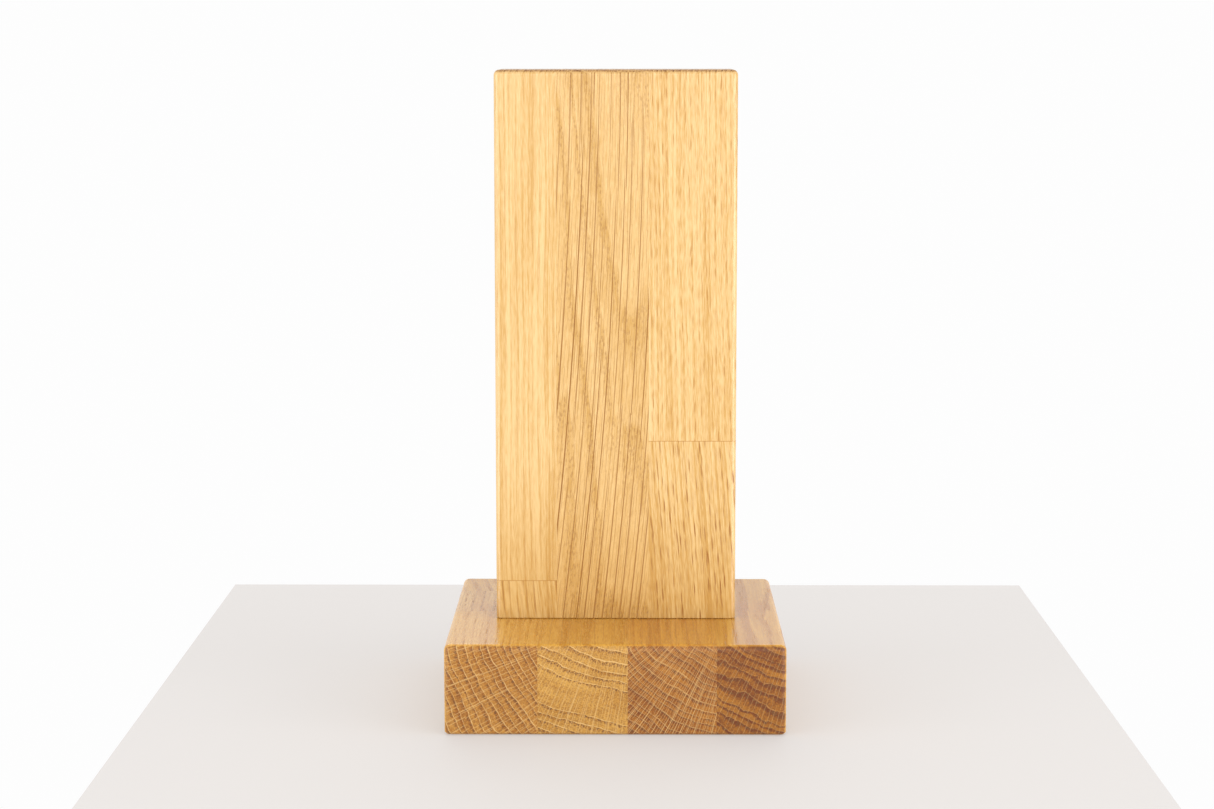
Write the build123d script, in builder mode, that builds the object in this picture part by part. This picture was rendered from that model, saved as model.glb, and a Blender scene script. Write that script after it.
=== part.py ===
from build123d import *

import os

# A magnetic knife block in oiled oak: an upright board of glued staves, which holds knives on both
# faces by magnets sealed inside it, on a square base of glued staves. Millimetres, +Z up, -Y to the
# front. The origin is the middle of the footprint, on the plane that the four feet stand on.

# ---- Driving dimensions: the upright board ----
board_width = 109.0
board_thickness = 40.0
board_height = 249.0
board_round = 2.5  # radius of its upright and top edges
board_arris = 0.4  # small bevel round its bottom end
board_lines = (-26.8, 14.9)  # glue lines between its three columns of staves, from its middle
left_joint_rise = 17.7  # height of the left column's butt joint above the board's bottom end
right_joint_rise = 82.0

# ---- Driving dimensions: the base ----
base_width = 150.0
base_depth = 150.0
base_thickness = 40.0
base_round = 2.8  # radius of its upright and top edges
base_arris = 0.8  # bevel round its underside
base_lines = (-34.0, 5.5, 44.5)  # glue lines between its four columns, from its middle
base_joints = (-3.5, 42.5)  # butt joints of the left column, from the middle towards the back

# ---- Driving dimensions: magnets and the plugs behind them ----
magnet_radius = 10.0
magnet_thickness = 5.0
magnet_clearance = 0.1  # between a magnet or its plug and the wall of the bore
magnet_skin = 2.5  # wood left between a magnet and the board's face
magnet_column_pitch = 32.0
magnet_row_pitch = 44.0
magnet_first_row = 52.0  # height of the lowest row above the board's bottom end
magnet_edge = 20.0  # least distance from a magnet's centre to the board's sides and top

# ---- Driving dimensions: dowels and screws between board and base ----
fastener_inset = 18.0  # from the board's sides to the fasteners' axes
dowel_radius = 4.0
dowel_clearance = 0.05
dowel_reach = 25.0  # depth of the dowel in each of the two pieces
dowel_bore_spare = 1.0  # room for glue past each end of the dowel
dowel_bevel = 0.8
screw_shank_radius = 3.5
screw_thread_radius = 3.0
screw_head_radius = 5.0
screw_head_height = 3.0
screw_clearance = 0.1
screw_shank_length = 12.0
screw_bite = 32.0  # length of thread that is in the board
screw_tip = 4.0  # length of the pointed end
screw_socket_radius = 2.3  # corner radius of the hexagon socket
screw_socket_depth = 2.0
counterbore_radius = 6.0
counterbore_depth = 9.0

# ---- Driving dimensions: feet ----
foot_radius = 7.0
foot_height = 3.0
foot_proud = 0.5  # height that a foot stands out of its recess
foot_clearance = 0.2
foot_inset = 20.0  # from the base's sides to a foot's centre
foot_bevel = 0.3

# ---- Derived places ----
base_bottom = foot_proud
base_top = base_bottom + base_thickness
board_bottom = base_top
board_top = board_bottom + board_height
board_left = -board_width / 2
board_right = board_width / 2
half_thickness = board_thickness / 2
base_left = -base_width / 2
base_right = base_width / 2
base_front = -base_depth / 2
base_back = base_depth / 2

beyond = 10.0  # how far a cutting box runs past the outside of the wood

fastener_x = board_right - fastener_inset
fastener_y = half_thickness / 2
dowel_spots = ((-fastener_x, -fastener_y), (fastener_x, fastener_y))
screw_spots = ((-fastener_x, fastener_y), (fastener_x, -fastener_y))
screw_seat = base_bottom + counterbore_depth

magnet_columns = int((board_width - 2 * magnet_edge) // magnet_column_pitch) + 1
magnet_rows = int((board_height - magnet_first_row - magnet_edge) // magnet_row_pitch) + 1
magnet_grid_middle = board_bottom + magnet_first_row + (magnet_rows - 1) * magnet_row_pitch / 2
magnet_bore_radius = magnet_radius + magnet_clearance
magnet_bore_depth = half_thickness - magnet_skin
magnet_plug_length = magnet_bore_depth - magnet_thickness

os.makedirs("parts", exist_ok=True)


# ---- The upright board, before it is divided into its staves ----
with BuildPart() as board_blank:
    with BuildSketch(Plane.XY.offset(board_bottom)):
        Rectangle(board_width, board_thickness)
    extrude(amount=board_height)
    upright_edges = board_blank.edges().filter_by(Axis.Z)
    top_edges = board_blank.faces().sort_by(Axis.Z)[-1].edges()
    fillet(upright_edges + top_edges, board_round)
    chamfer(board_blank.faces().sort_by(Axis.Z)[0].edges(), board_arris)
    # The magnets' bores run out to both faces from the plane where the two halves are glued.
    with BuildSketch(Plane.XZ):
        with Locations((0, magnet_grid_middle)):
            with GridLocations(magnet_column_pitch, magnet_row_pitch, magnet_columns, magnet_rows):
                Circle(magnet_bore_radius)
    extrude(amount=magnet_bore_depth, both=True, mode=Mode.SUBTRACT)
    with BuildSketch(Plane.XY.offset(board_bottom)):
        with Locations(*dowel_spots):
            Circle(dowel_radius + dowel_clearance)
    extrude(amount=dowel_reach + dowel_bore_spare, mode=Mode.SUBTRACT)
    with BuildSketch(Plane.XY.offset(board_bottom)):
        with Locations(*screw_spots):
            Circle(screw_thread_radius + screw_clearance)
    extrude(amount=screw_bite, mode=Mode.SUBTRACT)

# ---- The base, before it is divided into its staves ----
with BuildPart() as base_blank:
    with BuildSketch(Plane.XY.offset(base_bottom)):
        Rectangle(base_width, base_depth)
    extrude(amount=base_thickness)
    upright_edges = base_blank.edges().filter_by(Axis.Z)
    top_edges = base_blank.faces().sort_by(Axis.Z)[-1].edges()
    fillet(upright_edges + top_edges, base_round)
    chamfer(base_blank.faces().sort_by(Axis.Z)[0].edges(), base_arris)
    with BuildSketch(Plane.XY.offset(base_top)):
        with Locations(*dowel_spots):
            Circle(dowel_radius + dowel_clearance)
    extrude(amount=-(dowel_reach + dowel_bore_spare), mode=Mode.SUBTRACT)
    with BuildSketch(Plane.XY.offset(base_bottom)):
        with Locations(*screw_spots):
            Circle(screw_shank_radius + screw_clearance)
    extrude(amount=base_thickness, mode=Mode.SUBTRACT)
    with BuildSketch(Plane.XY.offset(base_bottom)):
        with Locations(*screw_spots):
            Circle(counterbore_radius)
    extrude(amount=counterbore_depth, mode=Mode.SUBTRACT)
    with BuildSketch(Plane.XY.offset(base_bottom)):
        with GridLocations(base_width - 2 * foot_inset, base_depth - 2 * foot_inset, 2, 2):
            Circle(foot_radius + foot_clearance)
    extrude(amount=foot_height - foot_proud, mode=Mode.SUBTRACT)


def stave(label, blank, x_span, y_span, z_span):
    """One stave: the share of a glued-up blank that lies between its glue lines."""
    x_low, x_high = x_span
    y_low, y_high = y_span
    z_low, z_high = z_span
    with BuildPart() as piece:
        add(blank.part)
        with BuildSketch(Plane.XY.offset(z_low)):
            with Locations(((x_low + x_high) / 2, (y_low + y_high) / 2)):
                Rectangle(x_high - x_low, y_high - y_low)
        extrude(amount=z_high - z_low, mode=Mode.INTERSECT)
    piece.part.label = label
    export_step(piece.part, f"parts/{label}.step")


# ---- Board staves: three columns in each half, two of them with a butt joint ----
board_low = board_bottom - beyond
board_high = board_top + beyond
left_line, right_line = board_lines
left_span = (board_left - beyond, left_line)
center_span = (left_line, right_line)
right_span = (right_line, board_right + beyond)
left_joint = board_bottom + left_joint_rise
right_joint = board_bottom + right_joint_rise
halves = {"front": (-half_thickness - beyond, 0.0), "back": (0.0, half_thickness + beyond)}

for half, y_span in halves.items():
    stave(f"{half}_stave_left_upper", board_blank, left_span, y_span, (left_joint, board_high))
    stave(f"{half}_stave_left_lower", board_blank, left_span, y_span, (board_low, left_joint))
    stave(f"{half}_stave_center", board_blank, center_span, y_span, (board_low, board_high))
    stave(f"{half}_stave_right_upper", board_blank, right_span, y_span, (right_joint, board_high))
    stave(f"{half}_stave_right_lower", board_blank, right_span, y_span, (board_low, right_joint))

# ---- Base staves: four columns that run from front to back, the left one in three lengths ----
x_cuts = (base_left - beyond, *base_lines, base_right + beyond)
y_cuts = (base_front - beyond, *base_joints, base_back + beyond)
base_z = (base_bottom - beyond, base_top + beyond)

for index, place in enumerate(("front", "middle", "back")):
    y_span = (y_cuts[index], y_cuts[index + 1])
    stave(f"base_stave_left_{place}", base_blank, (x_cuts[0], x_cuts[1]), y_span, base_z)

for index, place in enumerate(("center_left", "center_right", "right"), start=1):
    x_span = (x_cuts[index], x_cuts[index + 1])
    stave(f"base_stave_{place}", base_blank, x_span, (y_cuts[0], y_cuts[-1]), base_z)

# ---- Magnets, and the wooden plugs that close their bores, in each half of the board ----
for half, outward in (("front", 1), ("back", -1)):
    with BuildPart() as magnets:
        with BuildSketch(Plane.XZ.offset(outward * magnet_bore_depth)):
            with Locations((0, magnet_grid_middle)):
                with GridLocations(
                    magnet_column_pitch, magnet_row_pitch, magnet_columns, magnet_rows
                ):
                    Circle(magnet_radius)
        extrude(amount=-outward * magnet_thickness)
    magnets.part.label = f"{half}_magnets"
    export_step(magnets.part, f"parts/{half}_magnets.step")

    with BuildPart() as magnet_plugs:
        with BuildSketch(Plane.XZ):
            with Locations((0, magnet_grid_middle)):
                with GridLocations(
                    magnet_column_pitch, magnet_row_pitch, magnet_columns, magnet_rows
                ):
                    Circle(magnet_radius)
        extrude(amount=outward * magnet_plug_length)
    magnet_plugs.part.label = f"{half}_magnet_plugs"
    export_step(magnet_plugs.part, f"parts/{half}_magnet_plugs.step")

# ---- Dowels: half in the base, half in the board ----
for side, spot in zip(("left", "right"), dowel_spots):
    with BuildPart() as dowel:
        with BuildSketch(Plane.XY.offset(base_top - dowel_reach)):
            with Locations(spot):
                Circle(dowel_radius)
        extrude(amount=2 * dowel_reach)
        chamfer(dowel.edges().filter_by(GeomType.CIRCLE), dowel_bevel)
    dowel.part.label = f"dowel_{side}"
    export_step(dowel.part, f"parts/dowel_{side}.step")

# ---- Screws: up through the base into the end grain of the board, from counterbores ----
screw_point = board_bottom + screw_bite
with BuildPart() as screw:
    with BuildSketch(Plane.XZ):
        with BuildLine():
            Polyline(
                (0, screw_seat - screw_head_height),
                (screw_head_radius, screw_seat - screw_head_height),
                (screw_head_radius, screw_seat),
                (screw_shank_radius, screw_seat),
                (screw_shank_radius, screw_seat + screw_shank_length),
                (screw_thread_radius, screw_seat + screw_shank_length),
                (screw_thread_radius, screw_point - screw_tip),
                (0, screw_point),
                close=True,
            )
        make_face()
    revolve(axis=Axis.Z)
    with BuildSketch(Plane.XY.offset(screw_seat - screw_head_height)):
        RegularPolygon(screw_socket_radius, 6)
    extrude(amount=screw_socket_depth, mode=Mode.SUBTRACT)

with BuildPart() as base_screws:
    with Locations(*screw_spots):
        add(screw.part)
base_screws.part.label = "base_screws"
export_step(base_screws.part, "parts/base_screws.step")

# ---- Feet: four round pads let into the underside ----
foot_x = base_right - foot_inset
foot_y = base_back - foot_inset
foot_spots = {
    "front_left": (-foot_x, -foot_y),
    "front_right": (foot_x, -foot_y),
    "back_left": (-foot_x, foot_y),
    "back_right": (foot_x, foot_y),
}
for place, spot in foot_spots.items():
    with BuildPart() as foot:
        with BuildSketch(Plane.XY):
            with Locations(spot):
                Circle(foot_radius)
        extrude(amount=foot_height)
        chamfer(foot.faces().sort_by(Axis.Z)[0].edges(), foot_bevel)
    foot.part.label = f"foot_{place}"
    export_step(foot.part, f"parts/foot_{place}.step")
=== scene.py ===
# %% [markdown]
# # A magnetic knife block in glued oak
#
# The object is an upright board on a square base, both glued from staves of oak. Its parts come
# from a CAD model, which already has the right shapes and sizes. What Blender adds is the wood:
# growth rings, pores, medullary rays and a thin coat of hard oil, with light and a camera that
# show them. Everything is in metres, with +Z up and the front face towards -Y. Sizes that a maker
# would give in millimetres are multiplied by MM.

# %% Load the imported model
import math

import bpy
from mathutils import Matrix, Vector


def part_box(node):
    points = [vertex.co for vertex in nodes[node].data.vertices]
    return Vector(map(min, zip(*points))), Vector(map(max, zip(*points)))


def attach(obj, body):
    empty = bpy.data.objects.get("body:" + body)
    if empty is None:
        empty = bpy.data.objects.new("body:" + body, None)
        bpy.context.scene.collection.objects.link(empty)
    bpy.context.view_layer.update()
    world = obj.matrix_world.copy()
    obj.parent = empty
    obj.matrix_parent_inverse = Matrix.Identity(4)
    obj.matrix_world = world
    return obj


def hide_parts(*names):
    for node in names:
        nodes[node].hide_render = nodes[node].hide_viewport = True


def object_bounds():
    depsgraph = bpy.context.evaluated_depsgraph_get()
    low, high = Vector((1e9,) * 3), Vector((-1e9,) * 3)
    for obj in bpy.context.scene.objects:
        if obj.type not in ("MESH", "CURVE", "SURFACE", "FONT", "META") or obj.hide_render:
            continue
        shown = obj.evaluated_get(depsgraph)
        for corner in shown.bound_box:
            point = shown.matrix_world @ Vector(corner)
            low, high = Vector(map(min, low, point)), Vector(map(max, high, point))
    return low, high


MM = 0.001

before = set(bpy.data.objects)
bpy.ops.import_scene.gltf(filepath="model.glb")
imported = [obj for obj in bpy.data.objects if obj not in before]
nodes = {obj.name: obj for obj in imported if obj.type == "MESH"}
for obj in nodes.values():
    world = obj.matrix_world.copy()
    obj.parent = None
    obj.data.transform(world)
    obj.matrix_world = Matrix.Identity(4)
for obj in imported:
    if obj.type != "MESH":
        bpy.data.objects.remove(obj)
cad_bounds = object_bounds()
scene = bpy.context.scene
cad_corners = [round(x / MM) for corner in cad_bounds for x in corner]
print(len(nodes), "CAD nodes, box in mm:", cad_corners)

# %% [markdown]
# ## Camera
#
# The block is seen from the front, a little from above, by a long lens that stands 1.2 m away. A
# camera could be aimed by a Track To constraint, but a plain turn matrix is exact and needs no
# target object. The lens looks along -Z of the camera, with +Y up.

# %% Place the camera
camera_data = bpy.data.cameras.new("camera")
camera_data.sensor_width = 36.0
camera_data.lens = 79.37
camera = bpy.data.objects.new("camera", camera_data)
scene.collection.objects.link(camera)
scene.camera = camera

camera_place = Vector((5.4, -1219.2, 299.7)) * MM
pitch_down, yaw_right, roll = 0.1330, -0.0078, -0.0003
forward = Vector(
    (
        math.sin(yaw_right) * math.cos(pitch_down),
        math.cos(yaw_right) * math.cos(pitch_down),
        -math.sin(pitch_down),
    )
)
right = Vector((math.cos(yaw_right), -math.sin(yaw_right), 0.0))
up = right.cross(forward)
turn = Matrix((right, up, -forward)).transposed().to_4x4()
camera.matrix_world = Matrix.Translation(camera_place) @ turn @ Matrix.Rotation(roll, 4, "Z")
print("camera looks", round(math.degrees(pitch_down), 1), "degrees down")

# %% [markdown]
# ## Light and floor
#
# The real block stood in a light tent on a frosted sheet. A plain white world gives the tent, with
# no hard shadow anywhere. Two upright softboxes reach below the table's level, because an upright
# face seen from above mirrors what lies below the horizon: they put the bright bands on the
# rounded upright edges. The low one beyond the camera puts a faint sheen on the board's front.
# The weak one behind and above brightens the base's top beside the board and leaves a soft shadow
# in front of the block. A sun lamp would draw hard shadows, and an image of a studio would have to
# be carried along, so area lights are the simpler way.
#
# The sheet lets some light through from below, so it glows a little and its shadows stay faint.
# It is low in albedo for the same reason: a white sheet would throw the oak's orange back at it.

# %% Light the scene
scene.view_settings.view_transform = "Standard"
world = bpy.data.worlds.new("light_tent")
world.use_nodes = True
world.node_tree.nodes["Background"].inputs["Color"].default_value = (1.0, 1.0, 1.0, 1.0)
world.node_tree.nodes["Background"].inputs["Strength"].default_value = 0.985
scene.world = world


def add_softbox(name, place, target, width, height, radiance):
    """A rectangular area light that faces a target point."""
    light = bpy.data.lights.new(name, "AREA")
    light.shape = "RECTANGLE"
    light.size = width
    light.size_y = height
    light.energy = radiance * width * height * math.pi
    lamp = bpy.data.objects.new(name, light)
    scene.collection.objects.link(lamp)
    lamp.location = place
    lamp.rotation_euler = (Vector(target) - Vector(place)).to_track_quat("-Z", "Y").to_euler()
    return lamp


block_center = (0.0, 0.0, 0.15)
add_softbox("left_softbox", (-1.6, -0.95, 0.20), block_center, 1.7, 1.5, 3.1)
add_softbox("right_softbox", (1.6, -0.95, 0.20), block_center, 1.7, 1.5, 4.4)
add_softbox("front_softbox", (0.0, -1.9, 0.66), block_center, 2.0, 0.8, 1.7)
add_softbox("back_softbox", (0.0, 1.9, 1.2), block_center, 2.2, 0.7, 1.4)

# %% Lay the floor
SHEET_GREY = (0.36, 0.345, 0.335, 1.0)
SHEET_GLOW = (1.0, 0.965, 0.94, 1.0)

floor_low = Vector((-0.215, -0.500, 0.0))
floor_high = Vector((0.225, 0.257, 0.0))
floor_mesh = bpy.data.meshes.new("floor")
floor_mesh.from_pydata(
    [
        (floor_low.x, floor_low.y, 0.0),
        (floor_high.x, floor_low.y, 0.0),
        (floor_high.x, floor_high.y, 0.0),
        (floor_low.x, floor_high.y, 0.0),
    ],
    [],
    [(0, 1, 2, 3)],
)
floor = bpy.data.objects.new("floor", floor_mesh)
scene.collection.objects.link(floor)
floor_material = bpy.data.materials.new("pale_sheet")
floor_material.use_nodes = True
floor_shader = floor_material.node_tree.nodes["Principled BSDF"]
floor_shader.inputs["Base Color"].default_value = SHEET_GREY
floor_shader.inputs["Emission Color"].default_value = SHEET_GLOW
floor_shader.inputs["Emission Strength"].default_value = 0.342
floor_shader.inputs["Roughness"].default_value = 0.7
floor_shader.inputs["Specular IOR Level"].default_value = 0.2
floor_mesh.materials.append(floor_material)
print("floor in mm:", [round(x / MM) for x in (floor_high - floor_low).xy])

# %% [markdown]
# ## Small helpers for node trees
#
# A wood shader is mostly arithmetic. Written node by node it would fill pages, so a few helpers
# make one node each and return its output, and a sum then reads nearly like a line of algebra.
# Wherever a helper takes a value, it takes a plain number or another node's output.

# %% Node helpers


def add_node(tree, kind, **settings):
    """A new node with its properties set."""
    node = tree.nodes.new(kind)
    for name, value in settings.items():
        setattr(node, name, value)
    return node


def feed(tree, socket, value):
    """Links an output to a socket, or sets the socket to a plain value."""
    if isinstance(value, bpy.types.NodeSocket):
        tree.links.new(value, socket)
    else:
        socket.default_value = value


def calc(tree, operation, *values, clamp=False):
    """The output of a Math node."""
    node = add_node(tree, "ShaderNodeMath", operation=operation, use_clamp=clamp)
    for socket, value in zip(node.inputs, values):
        feed(tree, socket, value)
    return node.outputs[0]


def vector_calc(tree, operation, *values):
    """The vector output of a Vector Math node, or its value for a dot product or a length."""
    node = add_node(tree, "ShaderNodeVectorMath", operation=operation)
    for socket, value in zip(node.inputs, values):
        feed(tree, socket, value)
    return node.outputs[1 if operation in ("DOT_PRODUCT", "LENGTH") else 0]


def step(tree, value, start, end, low=0.0, high=1.0):
    """A smooth step from low to high as value goes from start to end."""
    node = add_node(tree, "ShaderNodeMapRange", interpolation_type="SMOOTHSTEP")
    for socket, number in zip(node.inputs, (value, start, end, low, high)):
        feed(tree, socket, number)
    return node.outputs[0]


def joined(tree, x, y, z):
    """A vector from three numbers."""
    node = add_node(tree, "ShaderNodeCombineXYZ")
    for socket, value in zip(node.inputs, (x, y, z)):
        feed(tree, socket, value)
    return node.outputs[0]


def split(tree, vector):
    """The three numbers of a vector."""
    node = add_node(tree, "ShaderNodeSeparateXYZ")
    feed(tree, node.inputs[0], vector)
    return node.outputs


def noise(tree, vector, detail=2.0, roughness=0.5):
    """Smooth noise from 0 to 1 that changes over about one unit of vector."""
    node = add_node(tree, "ShaderNodeTexNoise", noise_dimensions="3D")
    feed(tree, node.inputs["Vector"], vector)
    node.inputs["Scale"].default_value = 1.0
    node.inputs["Detail"].default_value = detail
    node.inputs["Roughness"].default_value = roughness
    return node.outputs[0]


def blend_color(tree, share, first, second, blend="MIX"):
    """Two colours mixed by a share."""
    # A Mix node has sockets for every kind of data. These are the ones for colours.
    share_socket, first_socket, second_socket, output_socket = 0, 6, 7, 2
    node = add_node(tree, "ShaderNodeMix", data_type="RGBA", blend_type=blend)
    feed(tree, node.inputs[share_socket], share)
    feed(tree, node.inputs[first_socket], first)
    feed(tree, node.inputs[second_socket], second)
    return node.outputs[output_socket]


node_helpers = (add_node, feed, calc, vector_calc, step, joined, split, noise, blend_color)
print("node helpers:", ", ".join(helper.__name__ for helper in node_helpers))


# %% [markdown]
# ## Oak, as a solid texture
#
# An image wrapped round a stave would break at every edge. Real grain runs through the wood, and
# each face is only a cut through it, so the texture is solid: it works out where a point lies in
# the tree. The pith, the tree's middle, is a line beside the stave. The distance from it gives the
# growth ring, the angle round it gives the medullary ray, and the third direction runs with the
# grain. The same wood then shows arcs on an end, flames on a flat face and fine lines on a
# quartered face, and all of them meet at the edges.
#
# The group's inputs are the facts of one stave, in millimetres: where its pith lies, how it leans,
# how wide its rings are, and its colours. One group serves every stave, so a change to the oak is
# made once. Bow bends the wood along its length, and Wave makes its rings uneven. Wide Year is the
# distance from the pith where one very wide year without pores starts. Bands sets the broad light
# and dark bands. The foot input is painted shade: it darkens the colour towards the foot of the
# board, below Foot Height, where less light falls. What a stave doesn't have is put far away.

# %% Inputs of the oak group
FAR_AWAY = 10000.0

OAK_INPUTS = (
    ("Pith", "NodeSocketVector", (0.0, 0.0, 0.0)),
    ("Turn", "NodeSocketVector", (0.0, 0.0, 0.0)),
    ("Grain Axis", "NodeSocketVector", (0.0, 0.0, 1.0)),
    ("Bow", "NodeSocketFloat", 0.0),
    ("Ring Width", "NodeSocketFloat", 3.0),
    ("Wide Year", "NodeSocketFloat", FAR_AWAY),
    ("Wave", "NodeSocketFloat", 1.0),
    ("Bands", "NodeSocketFloat", 0.6),
    ("Spring Tone", "NodeSocketFloat", 0.42),
    ("Fine Grain", "NodeSocketFloat", 1.9),
    ("Pores", "NodeSocketFloat", 0.7),
    ("Pore Length", "NodeSocketFloat", 17.0),
    ("Rays", "NodeSocketFloat", 0.7),
    ("Ring Lines", "NodeSocketFloat", 0.75),
    ("Ray Spacing", "NodeSocketFloat", 5.0),
    ("Ray Length", "NodeSocketFloat", 110.0),
    # painted shade: darkens the board's colour towards its foot, below Foot Height
    ("Painted Foot Shade", "NodeSocketColor", (1.0, 1.0, 1.0, 1.0)),
    ("Foot Height", "NodeSocketFloat", 100.0),
    ("Light Wood", "NodeSocketColor", (0.60, 0.40, 0.18, 1.0)),
    ("Dark Wood", "NodeSocketColor", (0.45, 0.26, 0.10, 1.0)),
    ("Pore Color", "NodeSocketColor", (0.30, 0.14, 0.04, 1.0)),
    ("End Tone", "NodeSocketColor", (0.70, 0.57, 0.44, 1.0)),
    ("Glue Line", "NodeSocketFloat", -FAR_AWAY),
    ("Seed", "NodeSocketFloat", 0.0),
)
OAK_OUTPUTS = (
    ("Color", "NodeSocketColor"),
    ("Roughness", "NodeSocketFloat"),
    ("Height", "NodeSocketFloat"),
)
print("facts of a stave:", ", ".join(name.lower() for name, _, _ in OAK_INPUTS))

# %% [markdown]
# ## Where a point lies in the tree
#
# The group is built from the coarse to the fine, one cell for each step. First come its sockets
# and the point itself, turned so that the pith is at the middle and the grain runs along Z. Every
# later step reads that point. Each stave's seed moves it to another place in the noise, so no two
# staves look alike. Noise that is stretched along the grain is needed often, so it gets a helper.

# %% Start the oak group
SEED_STRIDE = 17.31
IN_MM = (1.0 / MM,) * 3

oak = bpy.data.node_groups.new("oak_wood", "ShaderNodeTree")
for name, kind, default in OAK_INPUTS:
    oak.interface.new_socket(name, in_out="INPUT", socket_type=kind).default_value = default
for name, kind in OAK_OUTPUTS:
    oak.interface.new_socket(name, in_out="OUTPUT", socket_type=kind)
given = oak.nodes.new("NodeGroupInput").outputs
result = oak.nodes.new("NodeGroupOutput").inputs

place = add_node(oak, "ShaderNodeTexCoord")
point = vector_calc(oak, "MULTIPLY", place.outputs["Object"], IN_MM)
normal = place.outputs["Normal"]


def turned_into_wood(vector):
    """A vector, turned so that the grain runs along Z."""
    node = add_node(oak, "ShaderNodeVectorRotate", rotation_type="EULER_XYZ", invert=True)
    feed(oak, node.inputs["Vector"], vector)
    feed(oak, node.inputs["Rotation"], given["Turn"])
    return node.outputs[0]


x, y, z = split(oak, turned_into_wood(vector_calc(oak, "SUBTRACT", point, given["Pith"])))
x = calc(oak, "MULTIPLY_ADD", given["Bow"], calc(oak, "MULTIPLY", z, z), x)
seed = calc(oak, "MULTIPLY", given["Seed"], SEED_STRIDE)


def spread(across, along):
    """The point, squeezed so that one unit is across mm wide and along mm long."""
    return joined(
        oak,
        calc(oak, "MULTIPLY_ADD", x, 1.0 / across, seed),
        calc(oak, "MULTIPLY", y, 1.0 / across),
        calc(oak, "MULTIPLY", z, 1.0 / along),
    )


def grain_noise(across, along, detail=2.0):
    """Noise from -0.5 to 0.5, stretched along the grain."""
    return calc(oak, "SUBTRACT", noise(oak, spread(across, along), detail), 0.5)


print("the point in the wood takes", len(oak.nodes), "nodes")

# %% [markdown]
# ## How the surface cuts the wood
#
# The same wood looks different on an end, which cuts across the grain, on a flat face, which lies
# along the rings, and on a quartered face, which stands square to them. The surface's direction
# tells which it is, so nothing has to be painted by hand, and the look changes over on the
# rounded edges.

# %% Find the kind of cut
across_grain = calc(oak, "ABSOLUTE", vector_calc(oak, "DOT_PRODUCT", normal, given["Grain Axis"]))
end = step(oak, across_grain, 0.4, 0.8)
side = calc(oak, "SUBTRACT", 1.0, end)
to_pith = vector_calc(oak, "NORMALIZE", joined(oak, x, y, 0.0))
facing = vector_calc(oak, "DOT_PRODUCT", turned_into_wood(normal), to_pith)
flat = step(oak, calc(oak, "ABSOLUTE", facing), 0.25, 0.75)
print("cuts told apart: end, flat and quartered, with", len(oak.nodes), "nodes so far")

# %% [markdown]
# ## Growth rings
#
# The distance from the pith, divided by the ring width, counts the years. Waves of three sizes
# bend the rings, and a slow noise makes some years wider than others. The fraction of a year is
# the season: the spring wood is porous and dark, the summer wood is dense. A thin pale line marks
# where each year starts.

# %% Count the years
WIDE_YEAR_DEPTH = 12.0

radius = calc(oak, "SQRT", calc(oak, "MULTIPLY_ADD", x, x, calc(oak, "MULTIPLY", y, y)))
waves = calc(oak, "MULTIPLY", grain_noise(26.0, 210.0, 1.0), 7.0)
waves = calc(oak, "MULTIPLY_ADD", grain_noise(5.0, 60.0), 1.6, waves)
waves = calc(oak, "MULTIPLY_ADD", grain_noise(1.1, 12.0, 1.0), 0.45, waves)
wavy_radius = calc(oak, "MULTIPLY_ADD", waves, given["Wave"], radius)
years = calc(oak, "DIVIDE", wavy_radius, given["Ring Width"])
uneven = noise(oak, joined(oak, calc(oak, "MULTIPLY_ADD", years, 0.4, seed), seed, 0.0), 1.0)
years = calc(oak, "MULTIPLY_ADD", calc(oak, "SUBTRACT", uneven, 0.5), 1.8, years)
year_tone = add_node(oak, "ShaderNodeTexWhiteNoise", noise_dimensions="1D")
feed(oak, year_tone.inputs["W"], calc(oak, "ADD", calc(oak, "FLOOR", years), seed))

past_wide = calc(oak, "SUBTRACT", wavy_radius, given["Wide Year"])
wide_end = step(oak, past_wide, WIDE_YEAR_DEPTH, WIDE_YEAR_DEPTH + 1.0, 1.0, 0.0)
in_wide = calc(oak, "MULTIPLY", step(oak, past_wide, 0.0, 1.5), wide_end)
plain = calc(oak, "SUBTRACT", 1.0, in_wide)

season = calc(oak, "FRACT", years)
spring_end = step(oak, season, 0.22, 0.56, 1.0, 0.0)
spring = calc(oak, "MULTIPLY", step(oak, season, 0.04, 0.12), spring_end)
spring = calc(oak, "MULTIPLY", spring, plain)
past_line = calc(oak, "MULTIPLY", season, given["Ring Width"])
ring_line = calc(oak, "MULTIPLY", step(oak, past_line, 0.16, 0.46, 1.0, 0.0), plain)
print("rings make it", len(oak.nodes), "nodes")

# %% [markdown]
# ## Pores
#
# Pores are tubes along the grain, crowded in the spring wood, so they show as dashes on a face and
# as dots on an end. Worley noise gives them: its cells, stretched along the grain, each hold one
# tube. The way round the pith is measured as an arc, in millimetres at a usual distance from it.
# Drawn dashes would be sharper, but they could not run round a corner.

# %% Bore the pores
ARC_RADIUS = 90.0
PORE_CELL_AROUND = 0.8
PORE_CELL_OUTWARD = 0.95

arc = calc(oak, "MULTIPLY", calc(oak, "ARCTAN2", y, x), ARC_RADIUS)
arc = calc(oak, "MULTIPLY_ADD", grain_noise(40.0, 260.0, 1.0), 2.2, arc)
arc = calc(oak, "MULTIPLY_ADD", grain_noise(4.5, 160.0, 1.0), 0.3, arc)
pore_cells = add_node(oak, "ShaderNodeTexVoronoi", voronoi_dimensions="3D", feature="F1")
pore_cells.inputs["Scale"].default_value = 1.0
pore_point = joined(
    oak,
    calc(oak, "MULTIPLY_ADD", arc, 1.0 / PORE_CELL_AROUND, seed),
    calc(oak, "MULTIPLY", radius, 1.0 / PORE_CELL_OUTWARD),
    calc(oak, "DIVIDE", z, given["Pore Length"]),
)
feed(oak, pore_cells.inputs["Vector"], pore_point)
tube = step(oak, pore_cells.outputs["Distance"], 0.22, 0.5, 1.0, 0.0)
patches = step(oak, grain_noise(3.5, 45.0), -0.16, 0.14, 0.45, 1.0)
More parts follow.
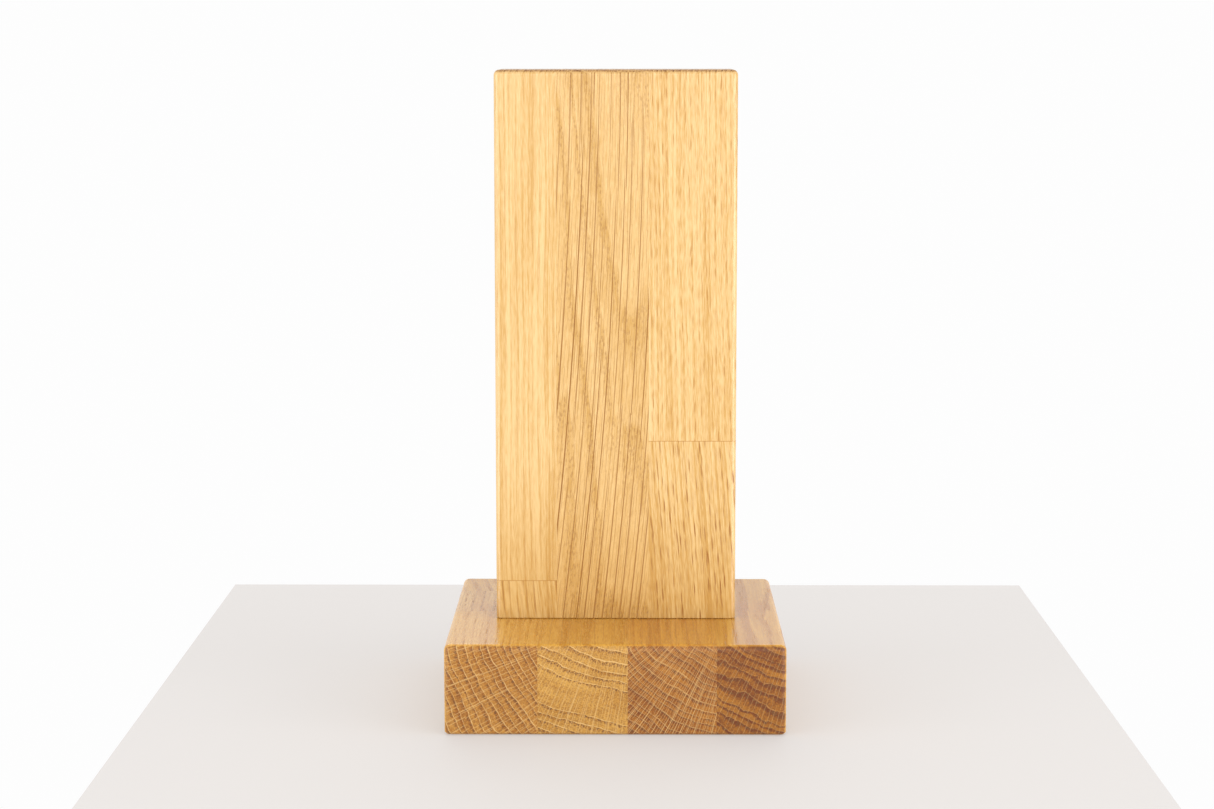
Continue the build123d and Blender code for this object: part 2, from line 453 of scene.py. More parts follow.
porous = calc(oak, "MULTIPLY", spring, patches)
pore = calc(oak, "MULTIPLY", tube, calc(oak, "MULTIPLY_ADD", porous, 0.82, 0.18))
print("pores make it", len(oak.nodes), "nodes")

# %% [markdown]
# ## Medullary rays
#
# Rays are thin plates that stand on the rings and reach from the pith outwards, so they show as
# long dark lines on a flat face and as pale spokes on an end. Each plate fills a cell of Worley
# noise and tapers towards its rim. Broad rays and small rays are the same plates in two sizes. The
# finest ones are too thin to tell apart, so noise stands in for their weave.

# %% Stand the rays


def ray_plates(spacing, depth, length, width):
    """Plates spacing mm apart, depth mm from the pith out and length mm with the grain."""
    cells = add_node(oak, "ShaderNodeTexVoronoi", voronoi_dimensions="3D", feature="F1")
    cells.inputs["Scale"].default_value = 1.0
    cells.inputs["Randomness"].default_value = 0.6
    cell_point = joined(
        oak,
        calc(oak, "ADD", calc(oak, "DIVIDE", arc, spacing), seed),
        calc(oak, "MULTIPLY", radius, 1.0 / depth),
        calc(oak, "DIVIDE", z, length),
    )
    feed(oak, cells.inputs["Vector"], cell_point)
    around, outward, along = split(
        oak, vector_calc(oak, "SUBTRACT", cell_point, cells.outputs["Position"])
    )
    beside = calc(oak, "MULTIPLY", calc(oak, "ABSOLUTE", around), spacing)
    away = calc(oak, "MULTIPLY_ADD", outward, outward, calc(oak, "MULTIPLY", along, along))
    taper = calc(oak, "SUBTRACT", 1.0, calc(oak, "MULTIPLY", away, 2.2), clamp=True)
    half_width = calc(oak, "MULTIPLY_ADD", calc(oak, "SQRT", taper), width, 0.001)
    plate = step(oak, calc(oak, "DIVIDE", beside, half_width), 0.4, 1.0, 1.0, 0.0)
    strength = calc(oak, "MULTIPLY_ADD", split(oak, cells.outputs["Color"])[0], 0.35, 0.65)
    return calc(oak, "MULTIPLY", plate, calc(oak, "MULTIPLY", strength, given["Rays"]))


small_spacing = calc(oak, "MULTIPLY", given["Ray Spacing"], 0.43)
ray = ray_plates(given["Ray Spacing"], depth=26.0, length=given["Ray Length"], width=0.31)
small_ray = ray_plates(small_spacing, depth=9.0, length=16.0, width=0.19)
weave_point = joined(
    oak,
    calc(oak, "MULTIPLY_ADD", arc, 1.0 / 0.5, seed),
    calc(oak, "MULTIPLY", radius, 1.0 / 1.5),
    calc(oak, "MULTIPLY", z, 1.0 / 2.0),
)
weave = calc(oak, "SUBTRACT", noise(oak, weave_point, 1.0), 0.5)
print("rays make it", len(oak.nodes), "nodes")

# %% [markdown]
# ## The wood's own colour, and painted shade at the foot
#
# A tone from light to dark wood is added up from the broad to the fine: bands of a few rings,
# streaks, fine grain, a tone for each year and the darker spring wood. One sum keeps every layer
# between the stave's two colours. A painted shade, for the light that falls off towards the foot
# of the board, can be laid over it.

# %% Mix the tone
band_point = joined(
    oak,
    calc(oak, "MULTIPLY_ADD", arc, 1.0 / 22.0, seed),
    calc(oak, "MULTIPLY", wavy_radius, 1.0 / 4.5),
    calc(oak, "MULTIPLY", z, 1.0 / 170.0),
)
bands = calc(oak, "SUBTRACT", noise(oak, band_point, 2.0), 0.5)
streak = grain_noise(0.75, 34.0, 2.0)
tone = calc(oak, "MULTIPLY_ADD", calc(oak, "MULTIPLY", bands, given["Bands"]), 2.6, 0.34)
tone = calc(oak, "MULTIPLY_ADD", streak, 1.1, tone)
tone = calc(oak, "MULTIPLY_ADD", grain_noise(0.45, 5.0, 1.0), given["Fine Grain"], tone)
tone = calc(oak, "MULTIPLY_ADD", calc(oak, "SUBTRACT", year_tone.outputs[0], 0.5), 0.3, tone)
tone = calc(oak, "MULTIPLY_ADD", porous, given["Spring Tone"], tone, clamp=True)
plain_color = blend_color(oak, tone, given["Light Wood"], given["Dark Wood"])
# Painted shade: the colour is multiplied darker towards the foot of the board, where less light
# falls.
foot = calc(oak, "DIVIDE", split(oak, point)[2], given["Foot Height"])
foot = step(oak, foot, 0.35, 1.0, 1.0, 0.0)
plain_color = blend_color(oak, foot, plain_color, given["Painted Foot Shade"], "MULTIPLY")
print("the tone makes it", len(oak.nodes), "nodes")

# %% [markdown]
# ## An end's colour
#
# On an end the oil soaks in, so the wood is darker and shows more contrast. The open pores are
# dark dots, and the rays and the ring lines are pale.

# %% Colour the ends
OPEN_PORE = (0.13, 0.05, 0.01, 1.0)
PALE_LINE = (0.60, 0.38, 0.145, 1.0)

end_tone = calc(oak, "MULTIPLY_ADD", spring, 0.35, calc(oak, "MULTIPLY_ADD", weave, 2.2, tone))
end_tone = calc(oak, "MULTIPLY", end_tone, 0.85, clamp=True)
end_color = blend_color(oak, 1.0, plain_color, given["End Tone"], "MULTIPLY")
end_color = blend_color(oak, end_tone, end_color, given["End Tone"], "MULTIPLY")
end_tube = step(oak, pore_cells.outputs["Distance"], 0.3, 0.6, 1.0, 0.0)
end_pore = calc(oak, "MULTIPLY", end_tube, calc(oak, "MULTIPLY_ADD", spring, 0.6, 0.3))
end_color = blend_color(oak, end_pore, end_color, OPEN_PORE)
thin_ray = step(oak, ray, 0.3, 0.85, 0.0, 0.68)
pale_lines = calc(oak, "MAXIMUM", thin_ray, calc(oak, "MULTIPLY", small_ray, 0.6))
broken_line = calc(oak, "MULTIPLY", patches, given["Ring Lines"])
broken_line = calc(oak, "MULTIPLY", ring_line, broken_line)
pale_lines = calc(oak, "MAXIMUM", pale_lines, broken_line)
end_color = blend_color(oak, pale_lines, end_color, PALE_LINE)
print("ends make it", len(oak.nodes), "nodes")

# %% [markdown]
# ## The sides' lines, the glue, the gloss and the height
#
# On the sides the pores and the rays are dark lines over the wood's own colour. A butt joint shows
# as a hair of glue where the point is near the stave's end. Open pores are also duller and lower
# than the wood round them, which gives the outputs for gloss and height.

# %% Finish the oak group
color = blend_color(
    oak, calc(oak, "MULTIPLY", pore, given["Pores"]), plain_color, given["Pore Color"]
)
dark_ray = calc(oak, "MAXIMUM", ray, calc(oak, "MULTIPLY", small_ray, 0.5))
dark_ray = calc(oak, "MULTIPLY", dark_ray, calc(oak, "MULTIPLY", side, flat))
color = blend_color(oak, dark_ray, color, given["Pore Color"])
color = blend_color(oak, end, color, end_color)

along_grain = vector_calc(oak, "DOT_PRODUCT", point, given["Grain Axis"])
glue = calc(oak, "ABSOLUTE", calc(oak, "SUBTRACT", along_grain, given["Glue Line"]))
glue = step(oak, glue, 0.08, 0.32, 0.55, 0.0)
feed(oak, result["Color"], blend_color(oak, glue, color, given["Pore Color"]))

dull = calc(oak, "MULTIPLY_ADD", pore, 0.2, calc(oak, "MULTIPLY_ADD", end, 0.2, 0.23))
feed(oak, result["Roughness"], dull)
feed(oak, result["Height"], calc(oak, "SUBTRACT", calc(oak, "MULTIPLY", streak, 0.15), pore))
print("oak group with", len(oak.nodes), "nodes and", len(OAK_INPUTS), "inputs")

# %% [markdown]
# ## One finish from the group
#
# Hard oil leaves a thin, slightly glossy skin on the wood. A clear coat layer would look
# varnished, so the shader's own reflection does it, a little duller on the end grain and in the
# pores. The pores are also sunk by a tenth of a millimetre, as a bump rather than as geometry,
# because there are many thousands of them.

# %% Finish helpers
PORE_SINK = 0.12 * MM


def make_oak(name, facts):
    """An oiled oak finish for one stave, from the facts of its wood."""
    material = bpy.data.materials.new(name)
    material.use_nodes = True
    tree = material.node_tree
    shader = tree.nodes["Principled BSDF"]
    shader.inputs["IOR"].default_value = 1.45
    wood = add_node(tree, "ShaderNodeGroup", node_tree=oak)
    for socket, value in facts.items():
        wood.inputs[socket].default_value = value
    tree.links.new(wood.outputs["Color"], shader.inputs["Base Color"])
    tree.links.new(wood.outputs["Roughness"], shader.inputs["Roughness"])
    bump = add_node(tree, "ShaderNodeBump")
    bump.inputs["Strength"].default_value = 0.35
    bump.inputs["Distance"].default_value = PORE_SINK
    tree.links.new(wood.outputs["Height"], bump.inputs["Height"])
    tree.links.new(bump.outputs["Normal"], shader.inputs["Normal"])
    return material


def wear(node, material):
    """Puts a finish on a CAD node."""
    mesh = nodes[node].data
    mesh.materials.clear()
    mesh.materials.append(material)


print("finish helpers:", make_oak.__name__, "and", wear.__name__)

# %% [markdown]
# ## The board's five pieces of wood
#
# Each column of the board was one thick stave, later sawn into a front and a back half. The halves
# share its wood, less the 3 mm that the saw took, so the pattern jumps a little at the seam that
# shows on the sides and the top. The middle column is cut flat, with the pith far behind it: its
# rays show end on, as long dark lines, and its rings as slanting flames. The other columns are cut
# on the quarter, with the pith off to one side: their rings show as fine upright lines.

# %% Dress the board
HONEY_LIGHT = (0.61, 0.42, 0.195, 1.0)
HONEY_DARK = (0.47, 0.27, 0.078, 1.0)
PORE_BROWN = (0.36, 0.165, 0.028, 1.0)

board_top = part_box("front_stave_center")[1].z / MM
left_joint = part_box("front_stave_left_lower")[1].z / MM
right_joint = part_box("front_stave_right_lower")[1].z / MM

board_woods = {
    "left_upper": {
        "Pith": (-190.0, 60.0, 150.0),
        "Fine Grain": 1.4,
        "Ring Width": 2.0,
        "Pores": 0.35,
        "Rays": 0.3,
        "Glue Line": left_joint,
        "Seed": 1.0,
    },
    "left_lower": {
        "Pith": (-150.0, 50.0, left_joint),
        "Turn": (0.0, math.radians(-5.0), 0.0),
        "Ring Width": 2.6,
        "Spring Tone": 0.65,
        "Pore Color": (0.27, 0.11, 0.014, 1.0),
        "Pores": 0.85,
        "Glue Line": left_joint,
        "Seed": 2.0,
    },
    "center": {
        "Pith": (23.0, 80.0, board_top),
        "Turn": (math.radians(2.8), 0.0, 0.0),
        "Bow": 0.000228,
        "Bands": 0.2,
        "Fine Grain": 1.1,
        "Spring Tone": 0.42,
        "Pore Length": 2.5,
        "Light Wood": (0.60, 0.395, 0.17, 1.0),
        "Dark Wood": (0.45, 0.255, 0.07, 1.0),
        "Pore Color": (0.22, 0.085, 0.010, 1.0),
        "Ring Width": 3.6,
        "Pores": 0.42,
        "Rays": 1.0,
        "Ray Spacing": 3.3,
        "Ray Length": 140.0,
        "Seed": 3.0,
    },
    "right_upper": {
        "Pith": (190.0, -70.0, 150.0),
        "Turn": (0.0, math.radians(-0.8), 0.0),
        "Ring Width": 2.1,
        "Pore Length": 8.0,
        "Pores": 0.85,
        "Rays": 0.3,
        "Glue Line": right_joint,
        "Seed": 4.0,
    },
    "right_lower": {
        "Pith": (170.0, -60.0, right_joint),
        "Turn": (0.0, math.radians(-4.0), 0.0),
        "Ring Width": 2.0,
        "Spring Tone": 0.6,
        "Pore Color": (0.26, 0.10, 0.013, 1.0),
        "Pores": 1.0,
        "Rays": 0.4,
        "Pore Length": 9.0,
        "Glue Line": right_joint,
        "Seed": 5.0,
    },
}
board_colors = {
    "Light Wood": HONEY_LIGHT,
    "Dark Wood": HONEY_DARK,
    "Pore Color": PORE_BROWN,
    # painted shade towards the board's foot, where less light falls
    "Painted Foot Shade": (0.90, 0.84, 0.66, 1.0),
    "Foot Height": 118.0,
}
SAW_KERF = 3.0

for column, facts in board_woods.items():
    for half, kerf in (("front", 0.0), ("back", SAW_KERF)):
        near, middle, high = facts["Pith"]
        half_facts = {**board_colors, **facts, "Pith": (near, middle - kerf, high)}
        wear(f"{half}_stave_{column}", make_oak(f"oak_{half}_{column}", half_facts))
board_joints = [round(height, 1) for height in (left_joint, right_joint)]
print("board:", len(board_woods), "woods in two halves, butt joints at z =", board_joints, "mm")

# %% [markdown]
# ## The base's six pieces of wood
#
# The base's staves lie from front to back, so the front and back faces show end grain: dark
# spring pores beside a thin pale line at each ring, crossed by pale rays. Turning the wood a
# quarter turn about X lays its grain along Y.

# %% Dress the base
LYING = math.radians(-90.0)
TAN_LIGHT = (0.58, 0.31, 0.05, 1.0)
TAN_DARK = (0.41, 0.17, 0.010, 1.0)
SAND_LIGHT = (0.63, 0.355, 0.075, 1.0)
SAND_DARK = (0.47, 0.21, 0.018, 1.0)
RED_LIGHT = (0.55, 0.265, 0.035, 1.0)
RED_DARK = (0.36, 0.13, 0.010, 1.0)
base_joints = [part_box(f"base_stave_left_{place}")[1].y / MM for place in ("front", "middle")]

base_woods = {
    "left_front": {
        "Pith": (58.0, 0.0, 77.5),
        "Ring Width": 3.5,
        "Light Wood": SAND_LIGHT,
        "Dark Wood": SAND_DARK,
        "End Tone": (0.67, 0.56, 0.46, 1.0),
        "Glue Line": base_joints[0],
        "Seed": 6.0,
    },
    "left_middle": {
        "Pith": (-10.0, 0.0, 110.0),
        "Ring Width": 3.0,
        "Light Wood": (0.62, 0.36, 0.09, 1.0),
        "Dark Wood": (0.48, 0.225, 0.03, 1.0),
        "Pore Color": (0.29, 0.12, 0.015, 1.0),
        "Pores": 0.95,
        "Pore Length": 7.0,
        "Glue Line": base_joints[0],
        "Seed": 7.0,
    },
    "left_back": {
        "Pith": (20.0, 0.0, -60.0),
        "Turn": (LYING, 0.0, math.radians(9.0)),
        "Ring Width": 3.4,
        "Spring Tone": 0.7,
        "Seed": 8.0,
        "Glue Line": base_joints[1],
    },
    "center_left": {
        "Pith": (18.0, 0.0, 119.5),
        "Ring Width": 4.0,
        "Wide Year": 102.0,
        "Pores": 0.4,
        "Ring Lines": 0.9,
        "End Tone": (0.83, 0.82, 0.97, 1.0),
        "Seed": 9.0,
    },
    "center_right": {
        "Pith": (61.0, 0.0, 77.5),
        "Ring Lines": 0.5,
        "Ring Width": 2.9,
        "Ray Spacing": 3.0,
        "Rays": 0.85,
        "End Tone": (0.62, 0.48, 0.33, 1.0),
        "Seed": 10.0,
        "Light Wood": RED_LIGHT,
        "Dark Wood": RED_DARK,
    },
    "right": {
        "Pith": (105.0, 0.0, 125.0),
        "Ring Width": 3.8,
        "Wave": 2.0,
        "Bands": 0.8,
        "Spring Tone": 1.0,
        "Fine Grain": 1.0,
        "Rays": 0.4,
        "Ring Lines": 0.2,
        "Pores": 0.9,
        "Seed": 11.0,
        "End Tone": (0.54, 0.38, 0.18, 1.0),
    },
}
base_defaults = {
    "Turn": (LYING, 0.0, 0.0),
    "Grain Axis": (0.0, 1.0, 0.0),
    "Light Wood": TAN_LIGHT,
    "Dark Wood": TAN_DARK,
    "Pore Color": PORE_BROWN,
    "Ray Spacing": 4.0,
    "Ray Length": 60.0,
    "Pores": 0.8,
}
for column, facts in base_woods.items():
    wear("base_stave_" + column, make_oak("oak_base_" + column, {**base_defaults, **facts}))
joint_places = [round(depth, 1) for depth in base_joints]
print("base:", len(base_woods), "woods, butt joints at y =", joint_places, "mm")

# %% [markdown]
# ## The hidden parts' materials
#
# The magnets, the plugs and the screws keep their CAD shapes, which are right, and only need a
# finish. Nickel plating is a bright metal with faint blotches. The screws are zinc plated, duller
# and a little blue. The plugs are oak again, lying along Y like the bores that they fill.

# %% Dress the magnets, plugs and screws


def make_plating(name, color, roughness, blotch):
    """A plated metal whose shine varies in blotches of blotch mm."""
    darkening, dulling = 0.72, 0.12
    material = bpy.data.materials.new(name)
    material.use_nodes = True
    tree = material.node_tree
    shader = tree.nodes["Principled BSDF"]
    shader.inputs["Metallic"].default_value = 1.0
    place = add_node(tree, "ShaderNodeTexCoord")
    scale = 1.0 / MM / blotch
    spots = noise(tree, vector_calc(tree, "MULTIPLY", place.outputs["Object"], (scale,) * 3), 3.0)
    darker = tuple(darkening * channel for channel in color[:3]) + (1.0,)
    blotched = blend_color(tree, step(tree, spots, 0.35, 0.65), darker, color)
    tree.links.new(blotched, shader.inputs["Base Color"])
    dull = step(tree, spots, 0.3, 0.7, roughness + dulling, roughness)
    tree.links.new(dull, shader.inputs["Roughness"])
    return material


nickel = make_plating("nickel_plating", (0.72, 0.69, 0.64, 1.0), 0.16, 3.0)
zinc = make_plating("zinc_plating", (0.60, 0.62, 0.66, 1.0), 0.28, 1.2)
plug_facts = {
    "Pith": (60.0, 0.0, 40.0),
    "Turn": (LYING, 0.0, 0.0),
    "Grain Axis": (0.0, 1.0, 0.0),
    "Light Wood": HONEY_LIGHT,
    "Dark Wood": HONEY_DARK,
    "Pore Color": PORE_BROWN,
    "Seed": 12.0,
}
plug_oak = make_oak("oak_plugs", plug_facts)
for half in ("front", "back"):
    wear(half + "_magnets", nickel)
    wear(half + "_magnet_plugs", plug_oak)
wear("base_screws", zinc)
print("inside:", nickel.name, plug_oak.name, zinc.name)

# %% [markdown]
# ## Helpers for Geometry Nodes
#
# Four feet, two dowels and two screw threads repeat, so each kind is one tree that copies its
# shape onto points. The trees start from a mesh that holds only those points. The result is made
# into a plain mesh, and the helper object goes away, so that nothing later depends on a modifier.

# %% Geometry Nodes helpers
SHARP_ANGLE = math.radians(40.0)


def make_shape_tree(name, sizes):
    """A Geometry Nodes tree with a geometry input, named size inputs and a material input."""
    tree = bpy.data.node_groups.new(name, "GeometryNodeTree")
    tree.interface.new_socket("Geometry", in_out="INPUT", socket_type="NodeSocketGeometry")
    for label, kind in sizes:
        tree.interface.new_socket(label, in_out="INPUT", socket_type=kind)
    tree.interface.new_socket("Material", in_out="INPUT", socket_type="NodeSocketMaterial")
    tree.interface.new_socket("Geometry", in_out="OUTPUT", socket_type="NodeSocketGeometry")
    given = tree.nodes.new("NodeGroupInput").outputs
    result = tree.nodes.new("NodeGroupOutput").inputs
    return tree, given, result


def copies_on_points(tree, given, result, shape):
    """Ends a tree: a copy of the shape on each point, made real, with its material."""
    copies = add_node(tree, "GeometryNodeInstanceOnPoints")
    tree.links.new(given["Geometry"], copies.inputs["Points"])
    tree.links.new(shape, copies.inputs["Instance"])
    real = add_node(tree, "GeometryNodeRealizeInstances")
    tree.links.new(copies.outputs[0], real.inputs[0])
    finish = add_node(tree, "GeometryNodeSetMaterial")
    tree.links.new(real.outputs[0], finish.inputs["Geometry"])
    tree.links.new(given["Material"], finish.inputs["Material"])
    tree.links.new(finish.outputs[0], result["Geometry"])


def ramp(tree, value, start, end, low, high):
    """A straight ramp from low to high as value goes from start to end, level outside."""
    node = add_node(tree, "ShaderNodeMapRange", interpolation_type="LINEAR", clamp=True)
    for socket, number in zip(node.inputs, (value, start, end, low, high)):
        feed(tree, socket, number)
    return node.outputs[0]


def make_from_tree(name, tree, spots, settings):
    """A plain mesh piece from a tree that copies its shape on spots."""
    points = bpy.data.meshes.new(name + "_points")
    points.from_pydata(spots, [], [])
    maker = bpy.data.objects.new(name + "_maker", points)
    scene.collection.objects.link(maker)
    modifier = maker.modifiers.new("shape", "NODES")
    modifier.node_group = tree
    for item in tree.interface.items_tree:
        if item.in_out == "INPUT" and item.name in settings:
            modifier[item.identifier] = settings[item.name]
    view = bpy.context.evaluated_depsgraph_get()
    mesh = bpy.data.meshes.new_from_object(maker.evaluated_get(view), depsgraph=view)
    mesh.name = name
    mesh.materials.clear()
    mesh.materials.append(settings["Material"])
    bpy.data.objects.remove(maker)
    mesh.set_sharp_from_angle(angle=SHARP_ANGLE)
    piece = bpy.data.objects.new(name, mesh)
    scene.collection.objects.link(piece)
    print(name, len(mesh.polygons), "faces,", len(spots), "copies")
    return piece


def bottom_middle(box):
    """The middle of a box's underside."""
    low, high = box
    return ((low + high) / 2).xy.to_3d() + Vector((0.0, 0.0, low.z))


shape_helpers = (make_shape_tree, copies_on_points, ramp, make_from_tree, bottom_middle)
print("shape helpers:", ", ".join(helper.__name__ for helper in shape_helpers))

# %% [markdown]
# ## A turned part
#
# A rubber foot and a wooden dowel are both turned shapes, so one tree makes them all. A screw
# modifier could turn an outline, but it could not cut flutes. The tree bends a flat grid round an
# axis instead: across the grid is the angle, up the grid is the way along the outline, from the
# middle of the bottom, round the rim, up the side and back to the middle of the top. Two extras
# are inputs: grip rings molded into the bottom, and flutes down the side. The way along the
# outline goes from 0 to 1, and four shares of it say where the rims and the wall start and end.

# %% Build the turned part
STEPS_AROUND, STEPS_ALONG = 96, 60
LOW_RIM, WALL_LOW, WALL_HIGH, HIGH_RIM = 0.3, 0.4, 0.6, 0.7
FLUTE_LOW, FLUTE_HIGH = 0.32, 0.68
WELD_DISTANCE = 0.002 * MM
QUARTER_TURN = math.pi / 2


def make_turned_part():
    """Bends a grid round Z into a rimmed, fluted or ringed disc or rod that stands on z = 0."""
    sizes = (
        ("Radius", "NodeSocketFloat"),
        ("Length", "NodeSocketFloat"),
        ("Rim", "NodeSocketFloat"),
        ("Grip Rings", "NodeSocketInt"),
        ("Grip Depth", "NodeSocketFloat"),
        ("Flutes", "NodeSocketInt"),
        ("Flute Depth", "NodeSocketFloat"),
    )
    tree, given, result = make_shape_tree("turned_part", sizes)
    grid = add_node(tree, "GeometryNodeMeshGrid")
    grid.inputs["Size X"].default_value = 1.0
    grid.inputs["Size Y"].default_value = 1.0
    grid.inputs["Vertices X"].default_value = STEPS_AROUND + 1
    grid.inputs["Vertices Y"].default_value = STEPS_ALONG + 1
    across, along, _ = split(tree, add_node(tree, "GeometryNodeInputPosition").outputs[0])
    around = calc(tree, "MULTIPLY", calc(tree, "ADD", across, 0.5), math.tau)
    way = calc(tree, "ADD", along, 0.5)

    flat_radius = calc(tree, "SUBTRACT", given["Radius"], given["Rim"])
    lower_turn = ramp(tree, way, LOW_RIM, WALL_LOW, 0.0, QUARTER_TURN)
    upper_turn = ramp(tree, way, WALL_HIGH, HIGH_RIM, 0.0, QUARTER_TURN)
    radius = ramp(tree, way, 0.0, LOW_RIM, 0.0, flat_radius)
    radius = calc(tree, "MULTIPLY_ADD", given["Rim"], calc(tree, "SINE", lower_turn), radius)
    inward = calc(tree, "SUBTRACT", 1.0, calc(tree, "COSINE", upper_turn))
    radius = calc(tree, "SUBTRACT", radius, calc(tree, "MULTIPLY", given["Rim"], inward))
    radius = calc(tree, "SUBTRACT", radius, ramp(tree, way, HIGH_RIM, 1.0, 0.0, flat_radius))
    flute_start = ramp(tree, way, FLUTE_LOW, WALL_LOW, 0.0, 1.0)
    flute_end = ramp(tree, way, WALL_HIGH, FLUTE_HIGH, 1.0, 0.0)
    wall = calc(tree, "MULTIPLY", flute_start, flute_end)
    flute = calc(tree, "COSINE", calc(tree, "MULTIPLY", around, given["Flutes"]))
    flute = calc(tree, "MULTIPLY_ADD", flute, -0.5, 0.5)
    flute = calc(tree, "MULTIPLY", calc(tree, "MULTIPLY", flute, wall), given["Flute Depth"])
    radius = calc(tree, "SUBTRACT", radius, flute)

    upward = calc(tree, "SUBTRACT", 1.0, calc(tree, "COSINE", lower_turn))
    height = calc(tree, "MULTIPLY", given["Rim"], upward)
    wall_height = calc(tree, "MULTIPLY_ADD", given["Rim"], -2.0, given["Length"])
    height = calc(tree, "ADD", height, ramp(tree, way, WALL_LOW, WALL_HIGH, 0.0, wall_height))
    height = calc(tree, "MULTIPLY_ADD", given["Rim"], calc(tree, "SINE", upper_turn), height)
    sole_turn = ramp(tree, way, 0.0, LOW_RIM, 0.0, math.tau)
    ring_turn = calc(tree, "MULTIPLY", given["Grip Rings"], sole_turn)
    groove = calc(tree, "MULTIPLY_ADD", calc(tree, "COSINE", ring_turn), -0.5, 0.5)
    height = calc(tree, "MULTIPLY_ADD", groove, given["Grip Depth"], height)

    bend = add_node(tree, "GeometryNodeSetPosition")
    tree.links.new(grid.outputs["Mesh"], bend.inputs["Geometry"])
    bent = joined(
        tree,
        calc(tree, "MULTIPLY", radius, calc(tree, "COSINE", around)),
        calc(tree, "MULTIPLY", radius, calc(tree, "SINE", around)),
        height,
    )
    tree.links.new(bent, bend.inputs["Position"])
    weld = add_node(tree, "GeometryNodeMergeByDistance")
    weld.inputs["Distance"].default_value = WELD_DISTANCE
    tree.links.new(bend.outputs[0], weld.inputs["Geometry"])
    copies_on_points(tree, given, result, weld.outputs[0])
    return tree


turned_part = make_turned_part()
print("turned part with", len(turned_part.nodes), "nodes")

# %% [markdown]
# ## The four rubber feet
#
# Each foot is a black disc let into the underside, half a millimetre proud. The CAD foot is a
# plain disc. This one has a rounded rim and three grip rings molded into its sole, all inside the
# CAD foot's box. The rubber is nearly black and dull, with fine grit in colour, gloss and height.

# %% Rubber for the feet
RUBBER_BLACK = (0.020, 0.019, 0.018, 1.0)
RUBBER_GREY = (0.038, 0.036, 0.034, 1.0)
GRIT_SIZE = 0.4 * MM
GRIT_HEIGHT = 0.05 * MM

rubber = bpy.data.materials.new("molded_rubber")
rubber.use_nodes = True
rubber_tree = rubber.node_tree
rubber_shader = rubber_tree.nodes["Principled BSDF"]
rubber_place = add_node(rubber_tree, "ShaderNodeTexCoord")
grit_scale = (1.0 / GRIT_SIZE,) * 3
grit_point = vector_calc(rubber_tree, "MULTIPLY", rubber_place.outputs["Object"], grit_scale)
grit = noise(rubber_tree, grit_point, 3.0)
grit_tone = step(rubber_tree, grit, 0.35, 0.65)
rubber_color = blend_color(rubber_tree, grit_tone, RUBBER_BLACK, RUBBER_GREY)
rubber_dull = step(rubber_tree, grit, 0.3, 0.7, 0.75, 0.6)
rubber_tree.links.new(rubber_color, rubber_shader.inputs["Base Color"])
rubber_tree.links.new(rubber_dull, rubber_shader.inputs["Roughness"])
rubber_bump = add_node(rubber_tree, "ShaderNodeBump")
rubber_bump.inputs["Strength"].default_value = 0.3
rubber_bump.inputs["Distance"].default_value = GRIT_HEIGHT
rubber_tree.links.new(grit, rubber_bump.inputs["Height"])
rubber_tree.links.new(rubber_bump.outputs["Normal"], rubber_shader.inputs["Normal"])
print("made", rubber.name)

# %% Make the feet
foot_nodes = [f"foot_{end}_{side}" for end in ("front", "back") for side in ("left", "right")]
foot_boxes = [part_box(node) for node in foot_nodes]
foot_spots = [bottom_middle(box) for box in foot_boxes]
foot_low, foot_high = foot_boxes[0]
foot_settings = {
    "Radius": (foot_high.x - foot_low.x) / 2,
    "Length": foot_high.z - foot_low.z,
    "Rim": 0.45 * MM,
    "Grip Rings": 3,
    "Grip Depth": 0.3 * MM,
    "Flutes": 0,
    "Flute Depth": 0.0,
    "Material": rubber,
}
feet = make_from_tree("feet", turned_part, foot_spots, foot_settings)
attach(feet, "root")
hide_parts(*foot_nodes)

# %% [markdown]
# ## The two dowels
#
# The dowels stand half in the base and half in the board. Beech dowels are fluted, so that the
# glue can spread round them, and their ends are bevelled, so that they find the bore. They are the
# same turned part with other inputs. Beech has no open pores but many short rays, which the oak
# group gives when its pores are turned down.

# %% Make the dowels
BEECH = {
    "Pith": (0.0, 60.0, 0.0),
    "Ring Width": 2.2,
    "Pores": 0.15,
    "Rays": 0.8,
    "Ray Spacing": 1.6,
    "Ray Length": 5.0,
    "Light Wood": (0.66, 0.44, 0.26, 1.0),
    "Dark Wood": (0.56, 0.35, 0.19, 1.0),
    "Pore Color": (0.36, 0.19, 0.09, 1.0),
    "Seed": 13.0,
}
dowel_nodes = ["dowel_left", "dowel_right"]
dowel_boxes = [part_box(node) for node in dowel_nodes]
dowel_spots = [bottom_middle(box) for box in dowel_boxes]
dowel_low, dowel_high = dowel_boxes[0]
dowel_settings = {
    "Radius": (dowel_high.x - dowel_low.x) / 2,
    "Length": dowel_high.z - dowel_low.z,
    "Rim": 0.8 * MM,
    "Grip Rings": 0,
    "Grip Depth": 0.0,
    "Flutes": 16,
    "Flute Depth": 0.35 * MM,
    "Material": make_oak("beech_dowels", BEECH),
}
dowels = make_from_tree("dowels", turned_part, dowel_spots, dowel_settings)
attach(dowels, "root")
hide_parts(*dowel_nodes)

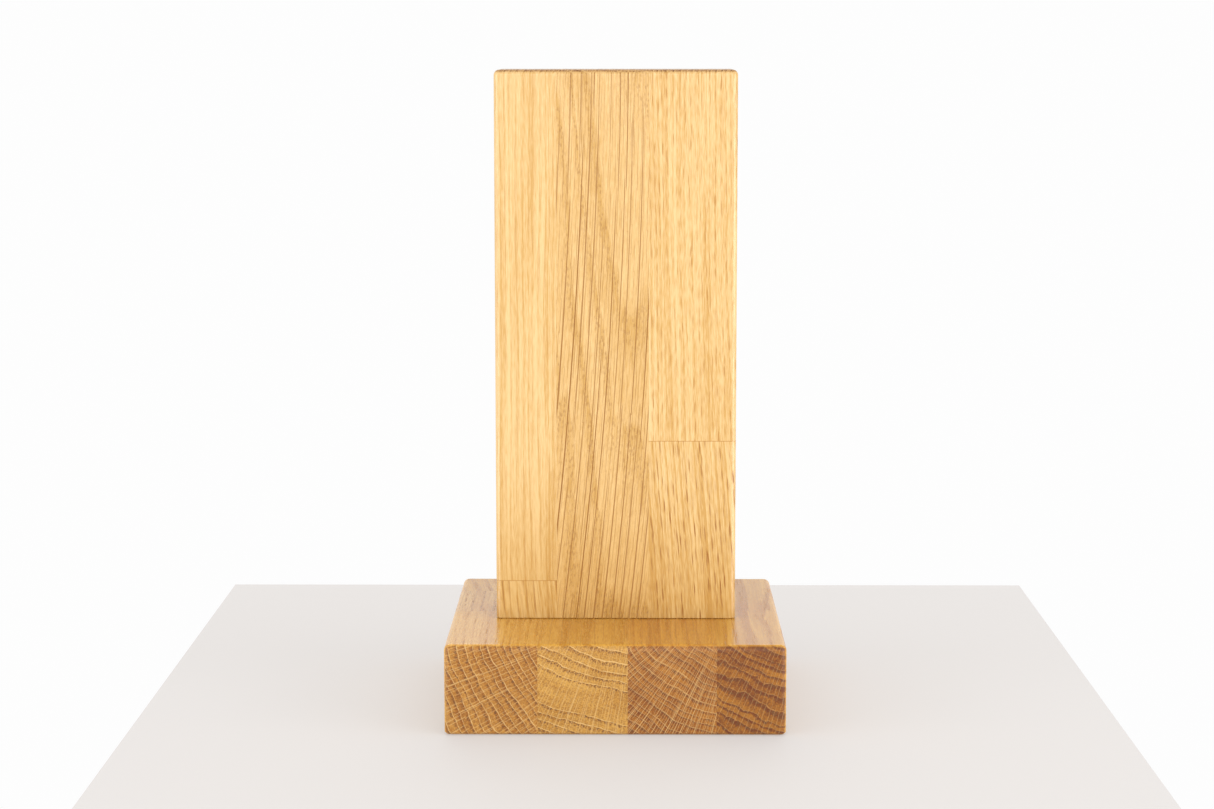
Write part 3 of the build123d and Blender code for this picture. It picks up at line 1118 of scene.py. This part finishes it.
# %% [markdown]
# ## The screws' threads
#
# A wood screw's thread is a sharp ridge that winds up its core and bites into the end grain of the
# board. It follows a path, so it is a spiral curve with a three-sided profile swept along it. The
# core, the shank and the head with its hexagon socket are the CAD part. The thread rides along
# with them and replaces nothing.

# %% Make the threads
STEPS_PER_TURN = 24
RIDGE_SIDES = 3


def make_screw_thread():
    """A three-sided ridge that winds round Z from z = 0."""
    sizes = (
        ("Core Radius", "NodeSocketFloat"),
        ("Length", "NodeSocketFloat"),
        ("Turns", "NodeSocketFloat"),
        ("Ridge", "NodeSocketFloat"),
    )
    tree, given, result = make_shape_tree("screw_thread", sizes)
    spiral = add_node(tree, "GeometryNodeCurveSpiral")
    spiral.inputs["Resolution"].default_value = STEPS_PER_TURN
    for socket in ("Start Radius", "End Radius"):
        tree.links.new(given["Core Radius"], spiral.inputs[socket])
    tree.links.new(given["Length"], spiral.inputs["Height"])
    tree.links.new(given["Turns"], spiral.inputs["Rotations"])
    profile = add_node(tree, "GeometryNodeCurvePrimitiveCircle")
    profile.inputs["Resolution"].default_value = RIDGE_SIDES
    tree.links.new(given["Ridge"], profile.inputs["Radius"])
    sweep = add_node(tree, "GeometryNodeCurveToMesh")
    sweep.inputs["Fill Caps"].default_value = True
    tree.links.new(spiral.outputs[0], sweep.inputs["Curve"])
    tree.links.new(profile.outputs[0], sweep.inputs["Profile Curve"])
    copies_on_points(tree, given, result, sweep.outputs[0])
    return tree


screw_low, screw_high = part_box("base_screws")
HEAD_RADIUS = 5.0 * MM
THREAD_LENGTH = 27.0 * MM
TIP_LENGTH = 5.0 * MM
thread_bottom = screw_high.z - TIP_LENGTH - THREAD_LENGTH
screw_spots = [
    (screw_low.x + HEAD_RADIUS, screw_high.y - HEAD_RADIUS, thread_bottom),
    (screw_high.x - HEAD_RADIUS, screw_low.y + HEAD_RADIUS, thread_bottom),
]
thread_settings = {
    "Core Radius": 3.0 * MM,
    "Length": THREAD_LENGTH,
    "Turns": 9.0,
    "Ridge": 0.5 * MM,
    "Material": zinc,
}
threads = make_from_tree("screw_threads", make_screw_thread(), screw_spots, thread_settings)
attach(threads, "root")
